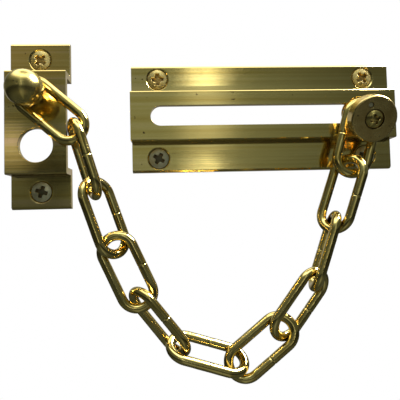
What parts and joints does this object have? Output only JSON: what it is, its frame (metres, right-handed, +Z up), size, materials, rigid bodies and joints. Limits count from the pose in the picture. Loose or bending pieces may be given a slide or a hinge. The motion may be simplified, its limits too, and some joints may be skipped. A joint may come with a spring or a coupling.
{
  "type": "door chain guard",
  "caption": "Brass door chain guard: slotted track plate, keep plate with ball knob and parking hole, and an oval-link chain on a button slider.",
  "frame": {"origin": "centre of the track plate's four-screw pattern, on the plane of the plates' back faces", "axes": "+X along the slot from the keep towards the slider's entry hole, +Y into the door, +Z up; the fronts face -Y"},
  "size_m": [0.145, 0.0443, 0.1266],
  "materials": {
    "plate_brass": "polished, with fine lines along the plate",
    "knob_brass": "polished",
    "chain_brass": "polished drawn wire",
    "button_brass": "polished, turned face",
    "screw_gilt": "bright",
    "screw_plain": "satin, slightly grey"
  },
  "bodies": {
    "plates": {"track_plate": "plate_brass", "track_screw_1": "screw_gilt", "track_screw_2": "screw_gilt", "track_screw_3": "screw_plain", "track_screw_4": "screw_plain", "keep_plate": "plate_brass", "keep_screw_1": "screw_gilt", "keep_screw_2": "screw_plain", "anchor_knob": "knob_brass", "knob_washer": "plate_brass"},
    "slider": {"slider_stud": "button_brass", "slider_button": "button_brass", "button_screw": "screw_plain", "button_pin": "screw_plain"},
    "chain_01": {"link_01": "chain_brass"},
    "chain_02": {"link_02": "chain_brass"},
    "chain_03": {"link_03": "chain_brass"},
    "chain_04": {"link_04": "chain_brass"},
    "chain_05": {"link_05": "chain_brass"},
    "chain_06": {"link_06": "chain_brass"},
    "chain_07": {"link_07": "chain_brass"},
    "chain_08": {"link_08": "chain_brass"},
    "chain_09": {"link_09": "chain_brass"},
    "chain_10": {"link_10": "chain_brass"},
    "chain_11": {"link_11": "chain_brass"}
  },
  "joints": [
    {"name": "slider_travel", "type": "slide", "parent": "plates", "child": "slider", "axis": [-1, 0, 0], "range_m": [0, 0.0752]},
    {"name": "swing_01", "type": "hinge", "parent": "plates", "child": "chain_01", "pos_m": [-0.084, -0.0115, 0.007], "axis": [0, -1, 0], "range_deg": [-1, 1]},
    {"name": "swing_02", "type": "hinge", "parent": "chain_01", "child": "chain_02", "pos_m": [-0.06928, -0.01142, -0.00579], "axis": [0, -1, 0], "range_deg": [-5.3, 0.2]},
    {"name": "swing_03", "type": "hinge", "parent": "chain_02", "child": "chain_03", "pos_m": [-0.06288, -0.01127, -0.02674], "axis": [0, -1, 0], "range_deg": [-43.1, 0.2]},
    {"name": "swing_04", "type": "hinge", "parent": "chain_03", "child": "chain_04", "pos_m": [-0.05588, -0.01112, -0.04706], "axis": [0, -1, 0], "range_deg": [-0.2, 11.8]},
    {"name": "swing_05", "type": "hinge", "parent": "chain_04", "child": "chain_05", "pos_m": [-0.04715, -0.01098, -0.06622], "axis": [0, -1, 0], "range_deg": [-0.2, 23.1]},
    {"name": "swing_06", "type": "hinge", "parent": "chain_07", "child": "chain_06", "pos_m": [-0.01279, -0.01068, -0.08979], "axis": [0, -1, 0], "range_deg": [-24.4, 0.2]},
    {"name": "swing_07", "type": "hinge", "parent": "chain_08", "child": "chain_07", "pos_m": [0.00367, -0.01052, -0.07835], "axis": [0, -1, 0], "range_deg": [-0.2, 1.6]},
    {"name": "swing_08", "type": "hinge", "parent": "chain_09", "child": "chain_08", "pos_m": [0.0164, -0.01038, -0.06146], "axis": [0, -1, 0], "range_deg": [-2.1, 0.2]},
    {"name": "swing_09", "type": "hinge", "parent": "chain_10", "child": "chain_09", "pos_m": [0.0235, -0.01023, -0.04085], "axis": [0, -1, 0], "range_deg": [-13.4, 0.2]},
    {"name": "swing_10", "type": "hinge", "parent": "chain_11", "child": "chain_10", "pos_m": [0.03079, -0.01007, -0.02025], "axis": [0, -1, 0], "range_deg": [-18.4, 0.2]},
    {"name": "swing_11", "type": "hinge", "parent": "slider", "child": "chain_11", "pos_m": [0.0364, -0.01, -0.00131], "axis": [0, -1, 0], "range_deg": [-0.2, 45.7]}
  ],
  "couplings": [
    {"joint": "swing_01", "follows": "slider_travel", "rad_per_m": -0.0464},
    {"joint": "swing_02", "follows": "slider_travel", "rad_per_m": -0.998},
    {"joint": "swing_03", "follows": "slider_travel", "rad_per_m": -9.7711},
    {"joint": "swing_04", "follows": "slider_travel", "rad_per_m": 2.5066},
    {"joint": "swing_05", "follows": "slider_travel", "rad_per_m": 5.1292},
    {"joint": "swing_06", "follows": "slider_travel", "rad_per_m": -5.4309},
    {"joint": "swing_07", "follows": "slider_travel", "rad_per_m": 0.1393},
    {"joint": "swing_08", "follows": "slider_travel", "rad_per_m": -0.2553},
    {"joint": "swing_09", "follows": "slider_travel", "rad_per_m": -2.8779},
    {"joint": "swing_10", "follows": "slider_travel", "rad_per_m": -4.0384},
    {"joint": "swing_11", "follows": "slider_travel", "rad_per_m": 10.374}
  ]
}
